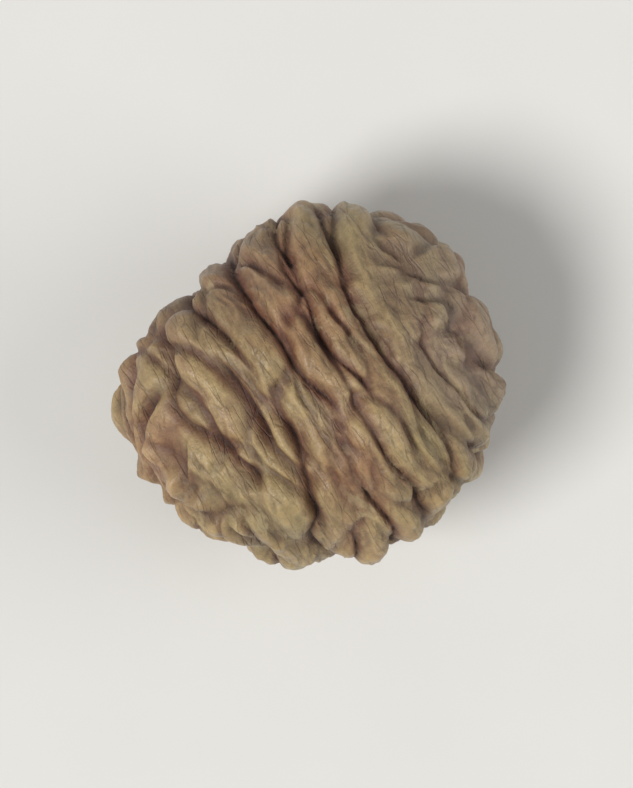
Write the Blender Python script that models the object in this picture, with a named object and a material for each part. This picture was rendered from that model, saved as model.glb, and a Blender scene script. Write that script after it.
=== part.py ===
"""One whole cardamom seed, lying on a small flat spot.

The seed is one closed body: a blunt, many-sided lump, a little longer than it is broad, crossed by
rounded ridges. A groove runs lengthwise along one side of it, low down, from near the pit at the
narrow end, and fades out before the dimple at the broad end. +X points along the seed to its broad
end, +Z is up, and the origin is under the middle of the seed, on the plane that it rests on.
"""

import math

import bmesh
import bpy
from mathutils import Vector, noise

# Overall size of the seed, in metres.
LENGTH = 0.0033
WIDTH = 0.0030
HEIGHT = 0.00265

# Everything below is in millimetres and degrees, before the body is fitted to the overall size.

# The flats that the seed got from lying packed against others in its pod:
# azimuth and elevation of each flat's outward direction, and its distance from the middle.
FLATS = (
    # round the waist, from the broad end anticlockwise
    (0, 4, 1.60),
    (20, 8, 1.70),
    (54, -2, 1.52),
    (102, 4, 1.28),
    (126, -6, 1.46),
    (150, 6, 1.72),
    (192, -6, 1.42),
    (214, 8, 1.44),
    (240, 12, 1.40),
    (278, 8, 1.46),
    (314, 0, 1.50),
    (340, 8, 1.62),
    # the upper slopes and the top
    (80, 42, 1.28),
    (28, 62, 1.27),
    (-28, 47, 1.38),
    (250, 42, 1.34),
    (150, 40, 1.44),
    (196, 70, 1.24),
    # the lower slopes
    (14, -44, 1.48),
    (78, -46, 1.28),
    (138, -46, 1.38),
    (192, -48, 1.34),
    (322, -44, 1.48),
    # the grooved face and the spot that it rests on
    (266, -22, 1.34),
    (258, -60, 1.36),
    (0, -90, 1.32),
)
EDGE_SHARPNESS = 18.0  # power of the blend between flats: higher is sharper
REST_HEIGHT = -1.275  # the plane of the resting spot, from the middle
REST_CALM = (0.80, 0.96)  # over this range of straight down, the ridges flatten out

# The cross ridges: rounded bands round the long axis, with narrow furrows between them.
MEAN_RADIUS = 1.5
RIDGE_SPACING = 0.47
RIDGE_DEPTH = 0.085
RIDGE_WANDER = 0.26  # how far a ridge strays along the seed
WRINKLE_SPACING = (0.40, 0.90, 0.90)  # the cells that break the ridges up
END_WRINKLE_SPACING = (0.60, 0.34, 0.80)  # the same at the two ends, where they lie aslant
END_SLANT = 38.0
WRINKLE_DEPTH = 0.06
LUMP_SIZE = 0.95
LUMP_HEIGHT = 0.07

# The lengthwise groove.
GROOVE_AZIMUTH = 266.0
GROOVE_ELEVATION = -22.0
GROOVE_HALF_WIDTH = 0.15
GROOVE_SLANT = 0.30  # it runs lower and lower towards the broad end
GROOVE_DEPTH = 0.23
GROOVE_LIP = 0.03

# The pit at the narrow end, where the seed was attached, and the dimple at the broad end.
PIT_DIRECTION = (184.0, -9.0)
PIT_RADIUS = 0.23
PIT_DEPTH = 0.26
PIT_RIM = 0.06
DIMPLE_DIRECTION = (-6.0, -18.0)
DIMPLE_RADIUS = 0.20
DIMPLE_DEPTH = 0.09

# The net of cells that is shaped into the seed. Its rows run round the long axis, as the ridges do.
QUARTER = 20  # cells in a quarter of the way round
ROWS = 34  # rows of cells between the caps that close the two ends
CAP = 33.0  # angle from the long axis to a cap's rim

COAT_COLOUR = (0.220, 0.145, 0.083, 1.0)
COAT_ROUGHNESS = 0.55


def direction(azimuth, elevation):
    a, e = math.radians(azimuth), math.radians(elevation)
    return Vector((math.cos(a) * math.cos(e), math.sin(a) * math.cos(e), math.sin(e)))


FLAT_NORMALS = [(direction(a, e), distance) for a, e, distance in FLATS]
GROOVE_SIDE = direction(GROOVE_AZIMUTH, GROOVE_ELEVATION)
GROOVE_SIDE = (GROOVE_SIDE - Vector((GROOVE_SIDE.x, 0, 0))).normalized()
ACROSS = Vector((1, 0, 0)).cross(GROOVE_SIDE)
PIT = direction(*PIT_DIRECTION)
DIMPLE = direction(*DIMPLE_DIRECTION)
END_ALONG = direction(90.0, END_SLANT)
END_ACROSS = direction(-90.0, 90.0 - END_SLANT)


def smooth(low, high, value):
    t = min(1.0, max(0.0, (value - low) / (high - low)))
    return t * t * (3 - 2 * t)


def body_radius(d):
    """Distance from the middle to the many-sided body, with its edges rounded off."""
    total = 0.0
    for normal, distance in FLAT_NORMALS:
        along = d.dot(normal)
        if along > 0:
            total += (along / distance) ** EDGE_SHARPNESS
    return total ** (-1 / EDGE_SHARPNESS)


def distance_along(d):
    """How far this direction lies from the narrow end, measured over the surface."""
    return MEAN_RADIUS * math.acos(max(-1.0, min(1.0, -d.x)))


def ridges(d, p):
    """Height of the cross ridges at this point, from 0 in a furrow to 1 on a crest."""
    along = distance_along(d)
    stray = noise.noise(p * 0.75 + Vector((3.1, 7.7, 1.9)))
    stray += 0.45 * noise.noise(p * 1.9 + Vector((11.3, 2.4, 5.2)))
    stray *= RIDGE_WANDER * (1 + 1.6 * smooth(0.5, 0.92, abs(d.x)))
    first = abs(math.sin(math.pi * (along + stray) / RIDGE_SPACING)) ** 0.75
    second = abs(math.sin(math.pi * (along * 1.13 - stray + 0.2) / RIDGE_SPACING))
    mix = smooth(-0.14, 0.14, noise.noise(p * 0.9 + Vector((5.5, 1.3, 9.1))))
    return first * (1 - mix) + second**0.75 * mix


STRAY_SHIFTS = [Vector(c) for c in ((0, 0, 0), (17.3, 4.1, 9.7), (5.9, 23.4, 13.8))]


def crease(q, reach):
    near = noise.voronoi(q, distance_metric="DISTANCE")[0]
    return smooth(0.0, reach, near[1] - near[0])


def wrinkles(d, p):
    """Height of the short cells that break up the ridges, from 0 in a crease to 1 inside a cell."""
    stray = Vector([0.35 * noise.noise(p * 1.6 + shift) for shift in STRAY_SHIFTS])
    at_end = smooth(0.58, 0.84, abs(d.x))
    height = 0.0
    if at_end < 1:
        q = Vector((distance_along(d), p.y, p.z))
        q = Vector([q[i] / WRINKLE_SPACING[i] for i in range(3)])
        height += (1 - at_end) * crease(q + stray, 0.42)
    if at_end > 0:
        q = Vector((p.x, p.dot(END_ACROSS), p.dot(END_ALONG)))
        q = Vector([q[i] / END_WRINKLE_SPACING[i] for i in range(3)])
        height += at_end * crease(q + 1.5 * stray, 0.60)
    return height


def groove(d, r):
    """(depth share, lip share) of the lengthwise groove at this point."""
    if d.dot(GROOVE_SIDE) <= 0:
        return 0.0, 0.0
    wander = GROOVE_SLANT * (d.x + 0.9) + 0.05 * math.sin(3.4 * d.x + 0.6)
    across = abs(r * (d.dot(ACROSS) - wander))
    reach = smooth(-0.93, -0.70, d.x) * (1 - smooth(0.35, 0.85, d.x))
    reach *= smooth(0.0, 0.35, d.dot(GROOVE_SIDE))
    width = GROOVE_HALF_WIDTH * (1.0 + 0.25 * d.x)
    depth = math.exp(-((across / width) ** 1.8))
    lip = math.exp(-(((across - 2.1 * width) / (0.8 * width)) ** 2))
    return depth * reach, lip * reach


def spot(d, r, centre, radius):
    """(depth share, rim share) of a round hollow centred on this direction."""
    away = r * math.acos(max(-1.0, min(1.0, d.dot(centre))))
    depth = math.exp(-((away / radius) ** 2.8))
    rim = math.exp(-(((away - 1.45 * radius) / (0.42 * radius)) ** 2))
    return depth, rim


def surface(d):
    """The point of the seed's surface in this direction from its middle."""
    r = body_radius(d)
    p = d * r
    cut, lip = groove(d, r)
    pit, rim = spot(d, r, PIT, PIT_RADIUS)
    dimple, _ = spot(d, r, DIMPLE, DIMPLE_RADIUS)
    calm = (1 - 0.7 * cut) * (1 - 0.8 * pit) * (1 - 0.4 * lip)
    calm *= 1 - 0.8 * smooth(*REST_CALM, -d.z)
    at_end = smooth(0.60, 0.88, abs(d.x))
    r += LUMP_HEIGHT * noise.noise(p / LUMP_SIZE + Vector((0.7, 4.2, 8.8)))
    r += calm * RIDGE_DEPTH * (1 - 0.75 * at_end) * (ridges(d, p) - 0.66)
    r += calm * WRINKLE_DEPTH * (1 + 0.9 * at_end) * (wrinkles(d, p) - 0.75)
    r += GROOVE_LIP * lip - GROOVE_DEPTH * cut
    r += PIT_RIM * rim - PIT_DEPTH * pit - DIMPLE_DEPTH * dimple
    point = d * r
    point.z = max(point.z, REST_HEIGHT)
    return point


def net_direction(polar, azimuth):
    """Direction at this angle from the narrow end, and this angle round the long axis."""
    p, a = math.radians(polar), math.radians(azimuth)
    return Vector((-math.cos(p), math.sin(p) * math.cos(a), math.sin(p) * math.sin(a)))


def round_the_square(s, t):
    """Angle that a place on a square has once the square is rounded off to a disc."""
    if abs(s) >= abs(t):
        return (45 * t / s if s else 0.0) + (180 if s < 0 else 0)
    return 90 - 45 * s / t + (180 if t < 0 else 0)


def add_sheet(body, rows):
    """Joins rows of directions into a sheet of four-sided cells."""
    rows = [[body.verts.new(d) for d in row] for row in rows]
    for here, after in zip(rows, rows[1:]):
        for i in range(len(here) - 1):
            body.faces.new((here[i], after[i], after[i + 1], here[i + 1]))


def add_net(body):
    """A unit sphere made of a barrel of rings and two caps that are squares rounded off to discs."""
    polars = [CAP + (180 - 2 * CAP) * row / ROWS for row in range(ROWS + 1)]
    azimuths = [90 * k / QUARTER for k in range(4 * QUARTER + 1)]
    add_sheet(body, [[net_direction(p, a) for a in azimuths] for p in polars])
    steps = [2 * i / QUARTER - 1 for i in range(QUARTER + 1)]
    for end in (0, 180):
        rows = []
        for s in steps:
            polars = [abs(end - CAP * max(abs(s), abs(t))) for t in steps]
            rows.append([net_direction(p, round_the_square(s, t)) for p, t in zip(polars, steps)])
        add_sheet(body, rows)
    bmesh.ops.remove_doubles(body, verts=body.verts, dist=1e-4)


def coat_material():
    material = bpy.data.materials.new("seed_coat")
    material.use_nodes = True
    shader = material.node_tree.nodes["Principled BSDF"]
    shader.inputs["Base Color"].default_value = COAT_COLOUR
    shader.inputs["Roughness"].default_value = COAT_ROUGHNESS
    shader.inputs["Metallic"].default_value = 0.0
    material.diffuse_color = COAT_COLOUR
    return material


def make_seed(collection):
    """Shapes a sphere into the seed, and fits it to the overall size."""
    body = bmesh.new()
    add_net(body)
    for vertex in body.verts:
        vertex.co = surface(vertex.co.normalized())
    low = Vector([min(v.co[i] for v in body.verts) for i in range(3)])
    high = Vector([max(v.co[i] for v in body.verts) for i in range(3)])
    size = Vector((LENGTH, WIDTH, HEIGHT))
    for vertex in body.verts:
        for i in range(3):
            share = (vertex.co[i] - low[i]) / (high[i] - low[i])
            vertex.co[i] = size[i] * (share - (0.5 if i < 2 else 0.0))
    bmesh.ops.triangulate(body, faces=body.faces, quad_method="SHORT_EDGE")
    bmesh.ops.recalc_face_normals(body, faces=body.faces)
    mesh = bpy.data.meshes.new("cardamom_seed")
    body.to_mesh(mesh)
    body.free()
    mesh.shade_smooth()
    mesh.materials.append(coat_material())
    seed = bpy.data.objects.new("cardamom_seed", mesh)
    collection.objects.link(seed)
    return seed


def main():
    for leftover in list(bpy.data.objects):
        bpy.data.objects.remove(leftover, do_unlink=True)
    collection = bpy.data.collections.new("one_cardamom_seed")
    bpy.context.scene.collection.children.link(collection)
    make_seed(collection)


main()
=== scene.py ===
"""The looks of one cardamom seed: a fine mesh of its ridged coat, a procedural seed-coat material, a pale floor, soft light and a camera straight above."""

import math

import bpy
import numpy as np
from mathutils import Euler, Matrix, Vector, noise


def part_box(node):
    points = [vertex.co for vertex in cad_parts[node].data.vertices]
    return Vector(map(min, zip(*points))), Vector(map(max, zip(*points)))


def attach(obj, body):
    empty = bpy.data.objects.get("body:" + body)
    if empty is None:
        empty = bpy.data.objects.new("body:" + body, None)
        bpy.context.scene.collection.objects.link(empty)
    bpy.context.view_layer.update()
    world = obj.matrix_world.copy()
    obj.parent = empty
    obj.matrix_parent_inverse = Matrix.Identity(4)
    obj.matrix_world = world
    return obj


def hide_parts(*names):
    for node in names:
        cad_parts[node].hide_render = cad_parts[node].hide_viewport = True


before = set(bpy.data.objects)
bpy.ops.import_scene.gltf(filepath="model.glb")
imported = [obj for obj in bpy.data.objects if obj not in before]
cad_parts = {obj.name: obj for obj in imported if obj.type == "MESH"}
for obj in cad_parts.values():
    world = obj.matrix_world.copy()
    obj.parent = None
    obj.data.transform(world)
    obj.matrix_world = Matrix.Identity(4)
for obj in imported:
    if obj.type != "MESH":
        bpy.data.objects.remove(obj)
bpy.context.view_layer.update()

# ---------------------------------------------------------------------------
# The seed's shape, in millimetres from its middle. The large forms are the solid's own.
# ---------------------------------------------------------------------------

FLATS = (
    # round the waist, from the broad end anticlockwise
    (0, 4, 1.60),
    (20, 8, 1.70),
    (54, -2, 1.52),
    (102, 4, 1.28),
    (126, -6, 1.46),
    (150, 6, 1.72),
    (192, -6, 1.42),
    (214, 8, 1.44),
    (240, 12, 1.40),
    (278, 8, 1.46),
    (314, 0, 1.50),
    (340, 8, 1.62),
    # the upper slopes and the top
    (80, 42, 1.28),
    (28, 62, 1.27),
    (-28, 47, 1.38),
    (250, 42, 1.34),
    (150, 40, 1.44),
    (196, 70, 1.24),
    # the lower slopes
    (14, -44, 1.48),
    (78, -46, 1.28),
    (138, -46, 1.38),
    (192, -48, 1.34),
    (322, -44, 1.48),
    # the grooved face and the spot that it rests on
    (266, -22, 1.34),
    (258, -60, 1.36),
    (0, -90, 1.32),
)
EDGE_SHARPNESS = 18.0
REST_HEIGHT = -1.275
REST_CALM = (0.80, 0.96)
MEAN_RADIUS = 1.5
RIDGE_SPACING = 0.47
RIDGE_DEPTH = 0.085
RIDGE_WANDER = 0.26
WRINKLE_SPACING = (0.40, 0.90, 0.90)
END_WRINKLE_SPACING = (0.60, 0.34, 0.80)
END_SLANT = 38.0
WRINKLE_DEPTH = 0.06
LUMP_SIZE = 0.95
LUMP_HEIGHT = 0.07
GROOVE_AZIMUTH = 266.0
GROOVE_ELEVATION = -22.0
GROOVE_HALF_WIDTH = 0.15
GROOVE_SLANT = 0.30
GROOVE_DEPTH = 0.23
GROOVE_LIP = 0.03
PIT_DIRECTION = (184.0, -9.0)
PIT_RADIUS = 0.23
PIT_DEPTH = 0.26
PIT_RIM = 0.06
DIMPLE_DIRECTION = (-6.0, -18.0)
DIMPLE_RADIUS = 0.20
DIMPLE_DEPTH = 0.09

GRID = 128  # cells along each side of the six patches: 196608 triangles

# the net of cells that the solid is made of, whose rows run round the long axis
QUARTER = 20
ROWS = 34
CAP = 33.0


def direction(azimuth, elevation):
    a, e = math.radians(azimuth), math.radians(elevation)
    return Vector((math.cos(a) * math.cos(e), math.sin(a) * math.cos(e), math.sin(e)))


FLAT_NORMALS = [(direction(a, e), distance) for a, e, distance in FLATS]
GROOVE_SIDE = direction(GROOVE_AZIMUTH, GROOVE_ELEVATION)
GROOVE_SIDE = (GROOVE_SIDE - Vector((GROOVE_SIDE.x, 0, 0))).normalized()
ACROSS = Vector((1, 0, 0)).cross(GROOVE_SIDE)
PIT = direction(*PIT_DIRECTION)
DIMPLE = direction(*DIMPLE_DIRECTION)
END_ALONG = direction(90.0, END_SLANT)
END_ACROSS = direction(-90.0, 90.0 - END_SLANT)


def smooth(low, high, value):
    t = min(1.0, max(0.0, (value - low) / (high - low)))
    return t * t * (3 - 2 * t)


def body_radius(d):
    total = 0.0
    for normal, distance in FLAT_NORMALS:
        along = d.dot(normal)
        if along > 0:
            total += (along / distance) ** EDGE_SHARPNESS
    return total ** (-1 / EDGE_SHARPNESS)


def distance_along(d):
    return MEAN_RADIUS * math.acos(max(-1.0, min(1.0, -d.x)))


def ridges(d, p):
    along = distance_along(d)
    stray = noise.noise(p * 0.75 + Vector((3.1, 7.7, 1.9)))
    stray += 0.45 * noise.noise(p * 1.9 + Vector((11.3, 2.4, 5.2)))
    stray *= RIDGE_WANDER * (1 + 1.6 * smooth(0.5, 0.92, abs(d.x)))
    first = abs(math.sin(math.pi * (along + stray) / RIDGE_SPACING)) ** 0.75
    second = abs(math.sin(math.pi * (along * 1.13 - stray + 0.2) / RIDGE_SPACING))
    mix = smooth(-0.14, 0.14, noise.noise(p * 0.9 + Vector((5.5, 1.3, 9.1))))
    return first * (1 - mix) + second**0.75 * mix


STRAY_SHIFTS = [Vector(c) for c in ((0, 0, 0), (17.3, 4.1, 9.7), (5.9, 23.4, 13.8))]


def crease(q, reach):
    near = noise.voronoi(q, distance_metric="DISTANCE")[0]
    return smooth(0.0, reach, near[1] - near[0])


def wrinkles(d, p):
    stray = Vector([0.35 * noise.noise(p * 1.6 + shift) for shift in STRAY_SHIFTS])
    at_end = smooth(0.58, 0.84, abs(d.x))
    height = 0.0
    if at_end < 1:
        q = Vector((distance_along(d), p.y, p.z))
        q = Vector([q[i] / WRINKLE_SPACING[i] for i in range(3)])
        height += (1 - at_end) * crease(q + stray, 0.42)
    if at_end > 0:
        q = Vector((p.x, p.dot(END_ACROSS), p.dot(END_ALONG)))
        q = Vector([q[i] / END_WRINKLE_SPACING[i] for i in range(3)])
        height += at_end * crease(q + 1.5 * stray, 0.60)
    return height


def groove(d, r):
    if d.dot(GROOVE_SIDE) <= 0:
        return 0.0, 0.0, 9.0
    wander = GROOVE_SLANT * (d.x + 0.9) + 0.05 * math.sin(3.4 * d.x + 0.6)
    across = abs(r * (d.dot(ACROSS) - wander))
    reach = smooth(-0.93, -0.70, d.x) * (1 - smooth(0.35, 0.85, d.x))
    reach *= smooth(0.0, 0.35, d.dot(GROOVE_SIDE))
    width = GROOVE_HALF_WIDTH * (1.0 + 0.25 * d.x)
    depth = math.exp(-((across / width) ** 1.8))
    lip = math.exp(-(((across - 2.1 * width) / (0.8 * width)) ** 2))
    return depth * reach, lip * reach, across / width


def spot(d, r, centre, radius):
    away = r * math.acos(max(-1.0, min(1.0, d.dot(centre))))
    depth = math.exp(-((away / radius) ** 2.8))
    rim = math.exp(-(((away - 1.45 * radius) / (0.42 * radius)) ** 2))
    return depth, rim, away / radius


def coarse_surface(d):
    """The solid's own surface, without the fine detail."""
    r = body_radius(d)
    p = d * r
    cut, lip, _ = groove(d, r)
    pit, rim, _ = spot(d, r, PIT, PIT_RADIUS)
    dimple, _, _ = spot(d, r, DIMPLE, DIMPLE_RADIUS)
    calm = (1 - 0.7 * cut) * (1 - 0.8 * pit) * (1 - 0.4 * lip)
    calm *= 1 - 0.8 * smooth(*REST_CALM, -d.z)
    at_end = smooth(0.60, 0.88, abs(d.x))
    r += LUMP_HEIGHT * noise.noise(p / LUMP_SIZE + Vector((0.7, 4.2, 8.8)))
    ridge = ridges(d, p)
    cell = wrinkles(d, p)
    r += calm * RIDGE_DEPTH * (1 - 0.75 * at_end) * (ridge - 0.66)
    r += calm * WRINKLE_DEPTH * (1 + 0.9 * at_end) * (cell - 0.75)
    r += GROOVE_LIP * lip - GROOVE_DEPTH * cut
    r += PIT_RIM * rim - PIT_DEPTH * pit - DIMPLE_DEPTH * dimple
    return d * r, r, p, (ridge, cell, cut, lip, pit, rim, dimple, calm, at_end)


def fine_surface(d):
    """(point, attributes): the coarse surface with the fine wrinkles, the groove's cord and the seed's scar."""
    _, r, p, facts = coarse_surface(d)
    ridge, cell, cut, lip, pit, rim, dimple, calm, at_end = facts
    along = distance_along(d)
    # secondary wrinkles that follow the ridges, finer in the furrows than on the crests
    warp = 0.16 * noise.noise(p * 1.7 + Vector((1.2, 3.4, 5.6)))
    warp += 0.05 * noise.noise(p * 4.2 + Vector((7.2, 0.4, 2.6)))
    q = Vector(((along + warp) * 7.6, p.y * 2.3, p.z * 2.3))
    folds = 1 - abs(noise.noise(q))
    folds = folds * folds
    q2 = Vector(((along + 1.4 * warp) * 15.0, p.y * 5.0, p.z * 5.0)) + Vector((9, 4, 1))
    small = 1 - abs(noise.noise(q2))
    if at_end > 0:
        # they lie aslant on the ends
        aslant = p.dot(END_ACROSS) + warp
        end = 1 - abs(noise.noise(Vector((p.x * 2.3, aslant * 7.0, p.dot(END_ALONG) * 2.6))))
        folds += at_end * (end * end - folds)
        q2 = Vector((p.x * 5.0, (aslant + 0.4 * warp) * 13.0, p.dot(END_ALONG) * 5.5))
        small += at_end * (1 - abs(noise.noise(q2)) - small)
    grain = noise.noise(p * 9.5 + Vector((4.4, 8.1, 0.3)))
    where = 0.55 + 0.9 * noise.noise(p * 1.3 + Vector((2.2, 6.1, 3.7)))
    where = min(1.0, max(0.15, where))
    soft = calm * (1 - 0.2 * at_end)
    r += soft * where * 0.032 * (folds - 0.72)
    r += soft * 0.018 * (small - 0.78)
    r += calm * 0.008 * grain
    # the furrows and the lines between cells are creased along their bottoms
    r -= soft * (1 - 0.7 * at_end) * 0.032 * math.exp(-((ridge / 0.34) ** 2))
    r -= soft * 0.016 * math.exp(-((cell / 0.30) ** 2))
    # the thin cord at the bottom of the groove
    _, _, off = groove(d, body_radius(d))
    cord = math.exp(-((off / 0.28) ** 2)) * cut
    r += 0.024 * cord * (1 + 0.9 * noise.noise(p * 4))
    # the torn stub inside the pit
    _, _, away = spot(d, body_radius(d), PIT, PIT_RADIUS)
    edge = 0.62 + 0.35 * noise.noise(p * 7 + Vector((6, 2, 1)))
    stub = math.exp(-((away / edge) ** 4))
    ragged = 0.5 + 0.9 * noise.noise(p * 11 + Vector((3, 3, 9))) + 0.5 * noise.noise(p * 23)
    r += 0.055 * stub * ragged
    point = d * r
    # the resting spot is worn flat, with the faintest relief left
    over = REST_HEIGHT - point.z
    if over > 0:
        point.z = REST_HEIGHT + 0.012 * (1 - math.exp(-over / 0.03)) * max(
            0.0, 0.5 + noise.noise(p * 3.0)
        ) * (1 if over > 0.004 else over / 0.004)
    return point, (ridge, cell, cut, pit, stub, cord, folds, rim)


def patches(n):
    """Directions and quads of a sphere made of six square patches, with evenly spaced cells."""
    seen, directions, quads = {}, [], []
    tangents = [math.tan((i / n * 2 - 1) * math.pi / 4) for i in range(n + 1)]
    sides = (
        ((1, 0, 0), (0, 1, 0), (0, 0, 1)),
        ((-1, 0, 0), (0, 0, 1), (0, 1, 0)),
        ((0, 1, 0), (0, 0, 1), (1, 0, 0)),
        ((0, -1, 0), (1, 0, 0), (0, 0, 1)),
        ((0, 0, 1), (1, 0, 0), (0, 1, 0)),
        ((0, 0, -1), (0, 1, 0), (1, 0, 0)),
    )
    for w, u, v in sides:
        w, u, v = Vector(w), Vector(u), Vector(v)
        grid = []
        for i in range(n + 1):
            for j in range(n + 1):
                at = w * n + u * (2 * i - n) + v * (2 * j - n)
                key = tuple(round(c) for c in at)
                if key not in seen:
                    seen[key] = len(directions)
                    directions.append((w + u * tangents[i] + v * tangents[j]).normalized())
                grid.append(seen[key])
        for i in range(n):
            for j in range(n):
                a = i * (n + 1) + j
                quads.append((grid[a], grid[a + n + 1], grid[a + n + 2], grid[a + 1]))
    return directions, quads


def net_direction(polar, azimuth):
    p, a = math.radians(polar), math.radians(azimuth)
    return Vector((-math.cos(p), math.sin(p) * math.cos(a), math.sin(p) * math.sin(a)))


def round_the_square(s, t):
    if abs(s) >= abs(t):
        return (45 * t / s if s else 0.0) + (180 if s < 0 else 0)
    return 90 - 45 * s / t + (180 if t < 0 else 0)


def net_directions():
    """Directions of the solid's own corners."""
    polars = [CAP + (180 - 2 * CAP) * row / ROWS for row in range(ROWS + 1)]
    made = [net_direction(p, 90 * k / QUARTER) for p in polars for k in range(4 * QUARTER)]
    steps = [2 * i / QUARTER - 1 for i in range(QUARTER + 1)]
    for end in (0, 180):
        for s in steps:
            for t in steps:
                polar = abs(end - CAP * max(abs(s), abs(t)))
                made.append(net_direction(polar, round_the_square(s, t)))
    return made


def fit_to_solid():
    """The lowest and highest raw corner of the coarse surface, which the solid's box is the fitted size of."""
    points = []
    for d in net_directions():
        point = coarse_surface(d)[0]
        points.append((point.x, point.y, max(point.z, REST_HEIGHT)))
    points = np.array(points)
    return points.min(0), points.max(0)


def neighbour_mean(values, edges, count):
    total = np.zeros_like(values)
    np.add.at(total, edges[:, 0], values[edges[:, 1]])
    np.add.at(total, edges[:, 1], values[edges[:, 0]])
    return total / count


def make_seed():
    directions, quads = patches(GRID)
    made = [fine_surface(d) for d in directions]
    points = np.array([m[0] for m in made])
    facts = np.array([m[1] for m in made])
    raw_low, raw_high = fit_to_solid()
    low, high = (np.array(c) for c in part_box("cardamom_seed"))
    points = low + (points - raw_low) / (raw_high - raw_low) * (high - low)
    points[:, 2] = np.maximum(points[:, 2], low[2])
    mesh = bpy.data.meshes.new("seed_coat")
    mesh.from_pydata(points.tolist(), [], quads)
    mesh.update()
    mesh.shade_smooth()
    # how far each point stands above the mean of those round it, at two sizes, in millimetres; the material paints
    # shade into the low places with these
    edges = np.array([tuple(e.vertices) for e in mesh.edges])
    count = np.bincount(edges.ravel(), minlength=len(points)).astype(float)[:, None]
    normals = np.array([v.vector for v in mesh.vertex_normals])
    mean, relief = points.copy(), {}
    for step in range(1, 61):
        mean = neighbour_mean(mean, edges, count)
        if step in (4, 60):
            relief[step] = ((points - mean) * normals).sum(1) * 1000
    names = ("ridge", "cell", "cut", "pit", "stub", "cord", "folds", "rim")
    layers = {name: facts[:, i] for i, name in enumerate(names)}
    layers["fine_relief"] = np.clip(0.5 + relief[4] / 0.02, 0, 1)
    layers["broad_relief"] = np.clip(0.5 + relief[60] / 0.16, 0, 1)
    for name, values in layers.items():
        layer = mesh.attributes.new(name, "FLOAT", "POINT")
        layer.data.foreach_set("value", values.astype(np.float32))
    seed = bpy.data.objects.new("seed_coat", mesh)
    bpy.context.scene.collection.objects.link(seed)
    return seed


# ---------------------------------------------------------------------------
# Materials
# ---------------------------------------------------------------------------


class Graph:
    """Short calls for building a material's nodes."""

    def __init__(self, name):
        self.material = bpy.data.materials.new(name)
        self.material.use_nodes = True
        self.tree = self.material.node_tree
        self.shader = self.tree.nodes["Principled BSDF"]

    def put(self, socket, value):
        if isinstance(value, bpy.types.NodeSocket):
            self.tree.links.new(value, socket)
        elif value is not None:
            socket.default_value = value

    def node(self, kind, settings=None, **inputs):
        made = self.tree.nodes.new(kind)
        for key, value in (settings or {}).items():
            setattr(made, key, value)
        for key, value in inputs.items():
            self.put(made.inputs[key.replace("_", " ")], value)
        return made

    def math(self, operation, a, b=None, c=None, clamp=False):
        made = self.tree.nodes.new("ShaderNodeMath")
        made.operation = operation
        made.use_clamp = clamp
        for socket, value in zip(made.inputs, (a, b, c)):
            self.put(socket, value)
        return made.outputs[0]

    def attribute(self, name):
        made = self.tree.nodes.new("ShaderNodeAttribute")
        made.attribute_name = name
        return made.outputs["Fac"]

    def remap(self, value, low, high, to_low=0.0, to_high=1.0, ease=True):
        made = self.tree.nodes.new("ShaderNodeMapRange")
        made.interpolation_type = "SMOOTHSTEP" if ease else "LINEAR"
        for key, v in (
            ("Value", value),
            ("From Min", low),
            ("From Max", high),
            ("To Min", to_low),
            ("To Max", to_high),
        ):
            self.put(made.inputs[key], v)
        return made.outputs[0]

    def scaled(self, vector, scale, offset=(0, 0, 0)):
        made = self.tree.nodes.new("ShaderNodeMapping")
        self.put(made.inputs["Vector"], vector)
        made.inputs["Scale"].default_value = scale
        made.inputs["Location"].default_value = offset
        return made.outputs[0]

    def noise(self, vector, scale=1.0, detail=3.0, roughness=0.5, distortion=0.0):
        made = self.tree.nodes.new("ShaderNodeTexNoise")
        self.put(made.inputs["Vector"], vector)
        made.inputs["Scale"].default_value = scale
        made.inputs["Detail"].default_value = detail
        made.inputs["Roughness"].default_value = roughness
        made.inputs["Distortion"].default_value = distortion
        return made.outputs["Fac"]

    def warped(self, vector, scale, amount):
        """The vector, pushed about by a noise of this scale."""
        made = self.tree.nodes.new("ShaderNodeTexNoise")
        self.put(made.inputs["Vector"], vector)
        made.inputs["Scale"].default_value = scale
        made.inputs["Detail"].default_value = 2.0
        push = self.tree.nodes.new("ShaderNodeVectorMath")
        push.operation = "MULTIPLY_ADD"
        self.put(push.inputs[0], made.outputs["Color"])
        push.inputs[1].default_value = (amount, amount, amount)
        self.put(push.inputs[2], vector)
        return push.outputs[0]

    def cells(self, vector, scale, feature="F1", randomness=1.0):
        made = self.tree.nodes.new("ShaderNodeTexVoronoi")
        made.feature = feature
        self.put(made.inputs["Vector"], vector)
        made.inputs["Scale"].default_value = scale
        made.inputs["Randomness"].default_value = randomness
        return made.outputs["Distance"]

    def mix(self, factor, a, b, blend="MIX"):
        made = self.tree.nodes.new("ShaderNodeMix")
        made.data_type = "RGBA"
        made.blend_type = blend
        self.put(made.inputs[0], factor)
        for socket, value in ((made.inputs[6], a), (made.inputs[7], b)):
            if isinstance(value, tuple):
                value = (*value, 1.0)
            self.put(socket, value)
        return made.outputs[2]


def srgb(code):
    """Linear colour of a six-digit hex code."""
    values = [int(code[i : i + 2], 16) / 255 for i in (0, 2, 4)]
    return tuple(v / 12.92 if v <= 0.04045 else ((v + 0.055) / 1.055) ** 2.4 for v in values)


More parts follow.
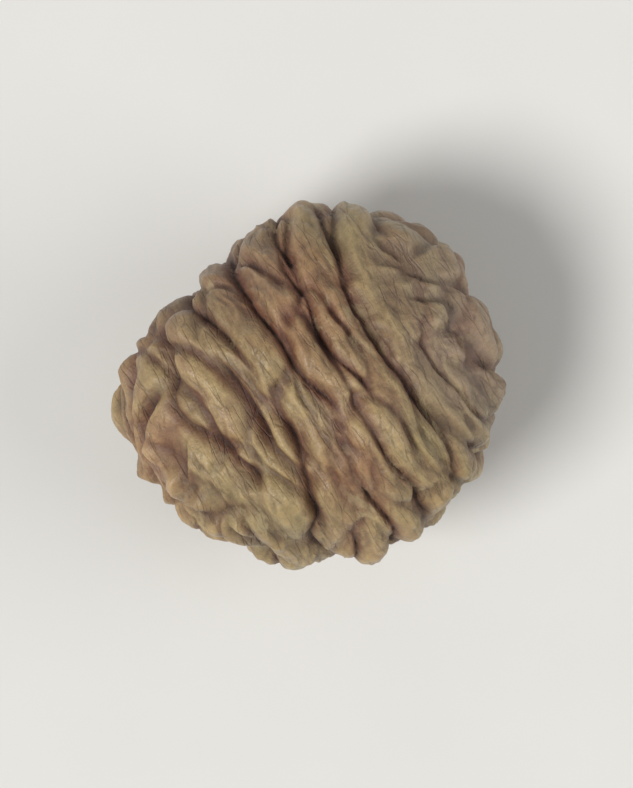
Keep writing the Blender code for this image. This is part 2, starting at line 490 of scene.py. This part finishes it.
def seed_coat_material():
    g = Graph("seed_coat")
    here = g.node("ShaderNodeTexCoord").outputs["Object"]
    mm = g.scaled(here, (1000, 1000, 1000))  # the seed's own millimetres
    axes = g.node("ShaderNodeSeparateXYZ")
    g.put(axes.inputs[0], mm)
    x, y, z = axes.outputs
    flat = g.scaled(g.warped(mm, 1.6, 0.5), (1, 1, 0), (-0.25, -0.25, 0))

    def times(a, b):
        return g.math("MULTIPLY", a, b)

    def near(value, middle, reach):
        """1 at the middle of a stretch, 0 at its ends."""
        off = g.math("ABSOLUTE", g.math("SUBTRACT", value, middle))
        return g.remap(off, reach, 0.0)

    def patch(at_x, at_y, reach):
        """1 over this place on the seed's upper side, fading out at this reach."""
        away = g.node("ShaderNodeVectorMath", {"operation": "DISTANCE"})
        g.put(away.inputs[0], flat)
        away.inputs[1].default_value = (at_x, at_y, 0.0)
        return times(g.remap(away.outputs["Value"], reach, 0.0), g.remap(z, 0.7, 1.3))

    broad = g.attribute("broad_relief")
    fine = g.attribute("fine_relief")
    ridge, cell = g.attribute("ridge"), g.attribute("cell")
    folds = g.attribute("folds")
    cut, pit = g.attribute("cut"), g.attribute("pit")
    stub, cord = g.attribute("stub"), g.attribute("cord")

    # height in the ridges, 0 in the furrows and 1 on the crests, edged by a fine ragged noise
    mottle = g.noise(g.scaled(mm, (9.0, 9.0, 9.0), (5.0, 2.0, 6.0)), 1.0, 4.0, 0.6)
    ragged = g.math("MULTIPLY_ADD", mottle, 0.24, -0.12)
    level = g.math("ADD", broad, ragged)
    crest = g.remap(level, 0.34, 0.70)
    bottom = g.remap(level, 0.40, 0.14)
    top = g.remap(level, 0.60, 0.92)

    # slow drifts of colour over the coat, drawn out along the ridges
    drift = g.noise(g.scaled(mm, (1.5, 0.7, 0.7), (9.0, 4.0, 2.0)), 1.0, 3.0, 0.55)
    band = g.noise(g.scaled(mm, (2.9, 0.8, 0.8), (1.0, 8.0, 3.0)), 1.0, 3.0, 0.6, 0.3)
    streak = g.noise(g.scaled(mm, (8.5, 1.6, 1.6), (6.0, 1.0, 3.0)), 1.0, 4.0, 0.65, 0.5)

    # the coat runs from dark in the furrows to pale on the crests; the furrows' dark is partly the coat's own colour
    # and partly painted shade
    base = g.mix(crest, srgb("644433"), srgb("9b845c"))
    # reddish and olive bands
    red = g.remap(band, 0.46, 0.60)
    base = g.mix(times(red, 0.38), base, srgb("7c4f39"))
    olive = g.remap(band, 0.47, 0.34)
    base = g.mix(times(olive, 0.34), base, srgb("7f724c"))
    # broad patches on the upper side: reddish, olive, and a pinkish grey one at the broad end
    for at_x, at_y, reach in ((0.25, 0.95, 0.85), (-0.15, -0.80, 0.55), (-1.45, 0.30, 0.55)):
        base = g.mix(times(patch(at_x, at_y, reach), 0.45), base, srgb("86503a"))
    for at_x, at_y, reach in (
        (-0.90, -0.80, 1.00),
        (0.75, -1.20, 1.05),
        (1.20, 0.50, 0.65),
        (0.75, 1.05, 0.50),
    ):
        base = g.mix(times(patch(at_x, at_y, reach), 0.44), base, srgb("7d7349"))
    base = g.mix(times(patch(1.10, -0.35, 0.65), 0.50), base, srgb("87705f"))
    # darker streaks that run along the ridges
    base = g.mix(times(g.remap(streak, 0.50, 0.66), 0.45), base, srgb("553829"))
    # crests rubbed paler, mostly towards the narrow end
    worn = g.remap(g.math("MULTIPLY_ADD", x, -0.11, drift), 0.40, 0.66)
    base = g.mix(times(times(top, worn), 0.55), base, srgb("b39a72"))
    base = g.mix(times(times(crest, worn), 0.22), base, srgb("a48a62"))
    # the broad end is greyer, and the slope that faces +Y and up is a dull, darker reddish grey whose darkness is
    # partly painted shade
    grey = g.remap(x, 0.55, 1.45)
    base = g.mix(times(grey, 0.46), base, srgb("85786a"))
    far = times(g.remap(y, 0.55, 1.35), g.remap(x, 0.9, -0.2))
    base = g.mix(times(far, 0.50), base, srgb("644c42"))
    # the flanks of the furrows are redder, and their bottoms are painted dark as shade
    flank = g.remap(g.math("ADD", ridge, ragged), 0.78, 0.25)
    base = g.mix(times(flank, 0.42), base, srgb("623c2c"))
    base = g.mix(times(bottom, 0.75), base, srgb("3c251b"))

    # the coat's small cells, drawn out across the ridges, and a fine grain
    fibre = g.cells(g.scaled(mm, (10.0, 36.0, 36.0)), 1.0)
    fibre_tone = g.remap(fibre, 0.1, 0.75)
    # hairline wrinkles that run along the ridges
    bent = g.warped(mm, 2.2, 0.16)
    hairline = g.cells(g.scaled(bent, (15.0, 3.0, 3.0)), 1.0, "DISTANCE_TO_EDGE")
    hairline = g.remap(hairline, 0.10, 0.0)
    here_and_there = g.remap(streak, 0.40, 0.58)
    hairline = times(hairline, here_and_there)
    speck = g.noise(g.scaled(mm, (38.0, 38.0, 38.0)), 1.0, 2.0, 0.6)
    value = g.math("MULTIPLY_ADD", mottle, 0.40, 0.80)
    value = times(value, g.math("MULTIPLY_ADD", fibre_tone, -0.08, 1.035))
    value = times(value, g.math("MULTIPLY_ADD", hairline, -0.20, 1.02))
    value = times(value, g.math("MULTIPLY_ADD", speck, 0.44, 0.78))
    # painted shade and light: the fine hollows of the relief are darkened and its small rises lightened
    value = times(value, g.math("MULTIPLY_ADD", g.remap(fine, 0.15, 0.85), 0.30, 0.84))
    tone = g.node("ShaderNodeCombineColor")
    for socket in tone.inputs:
        g.put(socket, value)
    base = g.mix(1.0, base, tone.outputs[0], "MULTIPLY")

    # what is left of the thin, papery film: faint straw-coloured shreds along the furrows' flanks
    shred = g.noise(g.scaled(mm, (4.6, 1.7, 1.7), (2.0, 5.0, 8.0)), 1.0, 6.0, 0.68, 0.4)
    shred = g.math("ADD", shred, times(near(broad, 0.40, 0.35), 0.10))
    film = times(g.remap(shred, 0.60, 0.72), g.remap(drift, 0.36, 0.56))
    base = g.mix(times(film, 0.50), base, srgb("b5a37c"))

    # the groove and the pit, painted dark as shade, the groove's cord, and the scar in the pit
    base = g.mix(times(g.remap(cut, 0.2, 0.9), 0.55), base, srgb("3b281d"))
    base = g.mix(times(g.remap(cord, 0.15, 0.8), 0.5), base, srgb("7d6446"))
    base = g.mix(times(g.remap(pit, 0.15, 0.8), 0.7), base, srgb("33231a"))
    base = g.mix(times(g.remap(stub, 0.15, 0.7), g.remap(mottle, 0.35, 0.6, 0.25, 0.8)), base, srgb("9a8560"))
    g.put(g.shader.inputs["Base Color"], base)

    # gloss: the crests have a dull waxy shine, the furrows and the film are dry
    rough = g.remap(level, 0.20, 0.80, 0.70, 0.36, ease=False)
    rough = g.math("ADD", rough, g.math("MULTIPLY_ADD", speck, 0.24, -0.12))
    rough = g.math("ADD", rough, times(film, 0.12), clamp=True)
    g.put(g.shader.inputs["Roughness"], rough)
    g.shader.inputs["Specular IOR Level"].default_value = 0.5
    g.shader.inputs["Sheen Weight"].default_value = 0.06
    g.shader.inputs["Sheen Roughness"].default_value = 0.4
    g.shader.inputs["Subsurface Weight"].default_value = 0.04
    g.shader.inputs["Subsurface Radius"].default_value = (1.0, 0.5, 0.25)
    g.shader.inputs["Subsurface Scale"].default_value = 0.00008

    # surface relief too fine for the mesh
    ripple = g.noise(g.scaled(mm, (18.0, 6.0, 6.0), (3.0, 3.0, 1.0)), 1.0, 3.0, 0.55, 0.6)
    grain = g.noise(g.scaled(mm, (30.0, 46.0, 46.0)), 1.0, 3.0, 0.6)
    height = g.math("ADD", ripple, times(grain, 0.62))
    height = g.math("ADD", height, times(fibre_tone, -0.10))
    height = g.math("ADD", height, times(hairline, -0.50))
    height = g.math("ADD", height, times(film, 0.35))
    bump = g.node("ShaderNodeBump")
    bump.inputs["Strength"].default_value = 0.8
    bump.inputs["Distance"].default_value = 0.000015
    g.put(bump.inputs["Height"], height)
    g.put(g.shader.inputs["Normal"], bump.outputs[0])
    return g.material


def floor_material():
    g = Graph("floor")
    here = g.node("ShaderNodeTexCoord").outputs["Object"]
    mm = g.scaled(here, (1000, 1000, 1000))
    tone = g.noise(g.scaled(mm, (0.5, 0.5, 0.5)), 1.0, 3.0, 0.5)
    colour = g.mix(tone, srgb("d9d7d2"), srgb("dfddd8"))
    g.put(g.shader.inputs["Base Color"], colour)
    g.shader.inputs["Roughness"].default_value = 0.85
    g.shader.inputs["Specular IOR Level"].default_value = 0.2
    return g.material


# ---------------------------------------------------------------------------
# Floor, light and camera
# ---------------------------------------------------------------------------

ROLL = math.radians(-30)  # the photo shows the seed's length sloping up to the right


def make_floor():
    bpy.ops.mesh.primitive_plane_add(size=1.6, location=(0, 0, -0.000004))
    floor = bpy.context.active_object
    floor.name = "floor"
    floor.data.materials.append(floor_material())
    return floor


def soft_light(name, photo_angle, elevation, spread, strength):
    """A far, wide light whose direction is given as it looks in the photo: 0 is right, 90 is up."""
    a, e = math.radians(photo_angle) + ROLL, math.radians(elevation)
    place = Vector((math.cos(a) * math.cos(e), math.sin(a) * math.cos(e), math.sin(e)))
    data = bpy.data.lights.new(name, "SUN")
    data.angle = math.radians(spread)
    data.energy = strength
    light = bpy.data.objects.new(name, data)
    light.location = place * 0.5
    light.rotation_euler = (-place).to_track_quat("-Z", "Y").to_euler()
    bpy.context.scene.collection.objects.link(light)
    return light


def make_lights():
    soft_light("key", 208, 55, 24, 2.38)
    soft_light("fill", 358, 38, 45, 0.92)
    # the room: pale walls at the level of the floor, dimmer higher up
    world = bpy.data.worlds.new("studio")
    bpy.context.scene.world = world
    world.use_nodes = True
    tree = world.node_tree
    background = tree.nodes["Background"]
    toward = tree.nodes.new("ShaderNodeTexCoord").outputs["Generated"]
    axes = tree.nodes.new("ShaderNodeSeparateXYZ")
    ramp = tree.nodes.new("ShaderNodeValToRGB")
    ramp.color_ramp.interpolation = "EASE"
    ramp.color_ramp.elements[0].position = 0.10
    ramp.color_ramp.elements[0].color = (0.812, 0.800, 0.766, 1)
    ramp.color_ramp.elements[1].position = 0.45
    ramp.color_ramp.elements[1].color = (0.270, 0.276, 0.285, 1)
    tree.links.new(toward, axes.inputs[0])
    tree.links.new(axes.outputs["Z"], ramp.inputs[0])
    tree.links.new(ramp.outputs[0], background.inputs[0])
    background.inputs[1].default_value = 1.0


def make_camera():
    data = bpy.data.cameras.new("camera")
    data.lens = 320
    data.clip_start = 0.001
    data.clip_end = 10
    camera = bpy.data.objects.new("camera", data)
    low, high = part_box("cardamom_seed")
    middle = (low + high) / 2
    across = 0.0054  # width of the view at the seed, in metres
    tall = across * 788 / 633
    camera.location = middle + Vector((0, 0, tall * data.lens / data.sensor_width))
    camera.rotation_euler = Euler((0, 0, ROLL))
    bpy.context.scene.collection.objects.link(camera)
    bpy.context.scene.camera = camera


seed = make_seed()
seed.data.materials.append(seed_coat_material())
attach(seed, "root")
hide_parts("cardamom_seed")
make_floor()
make_lights()
make_camera()
bpy.context.scene.view_settings.view_transform = "Standard"
